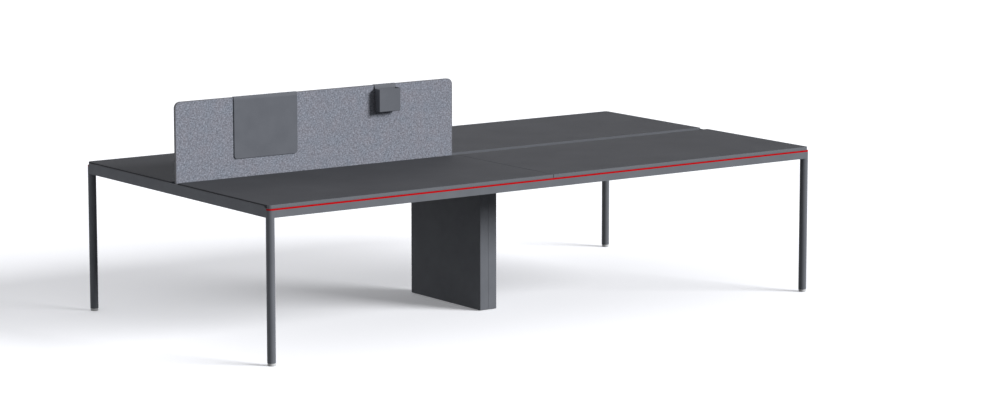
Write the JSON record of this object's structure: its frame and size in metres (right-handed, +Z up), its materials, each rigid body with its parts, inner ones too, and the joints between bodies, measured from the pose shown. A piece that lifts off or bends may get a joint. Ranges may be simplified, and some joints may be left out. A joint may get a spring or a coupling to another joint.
{
  "type": "four-place bench desk",
  "caption": "Bench desk with sliding worktops on slim round legs, a slab cable leg under the middle, and a felt screen with a hanging board and box.",
  "frame": {"origin": "on the floor, under the middle of the frame", "axes": "+X along the desk towards the end without the screen, +Y from the front users to the back users, +Z up"},
  "size_m": [3.2, 1.68, 1.1218],
  "materials": {
    "powder_coat": "fine-textured matt grey powder coat",
    "powder_coat_accessory": "fine-textured matt dark grey powder coat",
    "worktop_laminate": "matt grey laminate on board",
    "accent_red": "satin red extruded strip",
    "screen_felt": "pressed melange felt",
    "edging_grey": "satin dark grey edging",
    "core_board": "plain board under the felt",
    "foot_plastic": "pale grey moulded plastic",
    "zinc_steel": "bright zinc plating",
    "anodised_aluminium": "natural anodised extrusion",
    "black_nylon": "black moulded nylon"
  },
  "bodies": {
    "frame": {"front_beam": "powder_coat", "back_beam": "powder_coat", "left_end_rail": "powder_coat", "right_end_rail": "powder_coat", "corner_front_left": "powder_coat", "corner_front_right": "powder_coat", "corner_back_left": "powder_coat", "corner_back_right": "powder_coat", "leg_front_left": "powder_coat", "leg_front_right": "powder_coat", "leg_back_left": "powder_coat", "leg_back_right": "powder_coat", "leg_bolts": "zinc_steel", "leg_nuts": "zinc_steel", "leg_sockets": "zinc_steel", "corner_screws": "zinc_steel", "front_accent_strip": "accent_red", "back_accent_strip": "accent_red", "crossbeam": "powder_coat", "frame_bolts": "zinc_steel", "inner_rail_front_left": "powder_coat", "inner_rail_front_right": "powder_coat", "inner_rail_back_left": "powder_coat", "inner_rail_back_right": "powder_coat", "cable_tray_left": "powder_coat", "cable_tray_right": "powder_coat", "tray_screws": "zinc_steel", "cable_leg_frame": "powder_coat", "cable_leg_left_shell": "powder_coat", "cable_leg_right_shell": "powder_coat", "cable_leg_bolts": "zinc_steel", "slide_channels_left_end": "anodised_aluminium", "slide_channels_centre": "anodised_aluminium", "slide_channels_right_end": "anodised_aluminium", "screen_core": "core_board", "screen_front_felt": "screen_felt", "screen_back_felt": "screen_felt", "screen_edging": "edging_grey", "screen_brackets": "powder_coat", "bracket_screws": "zinc_steel"},
    "top_front_left": {"worktop_front_left": "worktop_laminate", "sliders_front_left": "black_nylon"},
    "top_front_right": {"worktop_front_right": "worktop_laminate", "sliders_front_right": "black_nylon"},
    "top_back_left": {"worktop_back_left": "worktop_laminate", "sliders_back_left": "black_nylon"},
    "top_back_right": {"worktop_back_right": "worktop_laminate", "sliders_back_right": "black_nylon"},
    "leg_foot_front_left": {"foot_front_left": "foot_plastic"},
    "leg_foot_front_right": {"foot_front_right": "foot_plastic"},
    "leg_foot_back_left": {"foot_back_left": "foot_plastic"},
    "leg_foot_back_right": {"foot_back_right": "foot_plastic"},
    "cable_leg_foot_front_left": {"base_foot_front_left": "foot_plastic"},
    "cable_leg_foot_front_right": {"base_foot_front_right": "foot_plastic"},
    "cable_leg_foot_back_left": {"base_foot_back_left": "foot_plastic"},
    "cable_leg_foot_back_right": {"base_foot_back_right": "foot_plastic"},
    "board": {"hanging_board": "powder_coat_accessory"},
    "box": {"hanging_box": "powder_coat_accessory"}
  },
  "joints": [
    {"name": "top_front_left_slide", "type": "slide", "parent": "frame", "child": "top_front_left", "axis": [0, -1, 0], "range_m": [0, 0.1]},
    {"name": "top_front_right_slide", "type": "slide", "parent": "frame", "child": "top_front_right", "axis": [0, -1, 0], "range_m": [0, 0.1]},
    {"name": "top_back_left_slide", "type": "slide", "parent": "frame", "child": "top_back_left", "axis": [0, 1, 0], "range_m": [0, 0.1]},
    {"name": "top_back_right_slide", "type": "slide", "parent": "frame", "child": "top_back_right", "axis": [0, 1, 0], "range_m": [0, 0.1]},
    {"name": "leg_foot_front_left_screw", "type": "slide", "parent": "frame", "child": "leg_foot_front_left", "axis": [0, 0, -1], "range_m": [0, 0.015]},
    {"name": "leg_foot_front_right_screw", "type": "slide", "parent": "frame", "child": "leg_foot_front_right", "axis": [0, 0, -1], "range_m": [0, 0.015]},
    {"name": "leg_foot_back_left_screw", "type": "slide", "parent": "frame", "child": "leg_foot_back_left", "axis": [0, 0, -1], "range_m": [0, 0.015]},
    {"name": "leg_foot_back_right_screw", "type": "slide", "parent": "frame", "child": "leg_foot_back_right", "axis": [0, 0, -1], "range_m": [0, 0.015]},
    {"name": "cable_leg_foot_front_left_screw", "type": "slide", "parent": "frame", "child": "cable_leg_foot_front_left", "axis": [0, 0, -1], "range_m": [0, 0.015]},
    {"name": "cable_leg_foot_front_right_screw", "type": "slide", "parent": "frame", "child": "cable_leg_foot_front_right", "axis": [0, 0, -1], "range_m": [0, 0.015]},
    {"name": "cable_leg_foot_back_left_screw", "type": "slide", "parent": "frame", "child": "cable_leg_foot_back_left", "axis": [0, 0, -1], "range_m": [0, 0.015]},
    {"name": "cable_leg_foot_back_right_screw", "type": "slide", "parent": "frame", "child": "cable_leg_foot_back_right", "axis": [0, 0, -1], "range_m": [0, 0.015]},
    {"name": "board_slide", "type": "slide", "parent": "frame", "child": "board", "axis": [1, 0, 0], "range_m": [-0.26, 0.2]},
    {"name": "box_slide", "type": "slide", "parent": "frame", "child": "box", "axis": [1, 0, 0], "range_m": [-0.2, 0.28]}
  ]
}
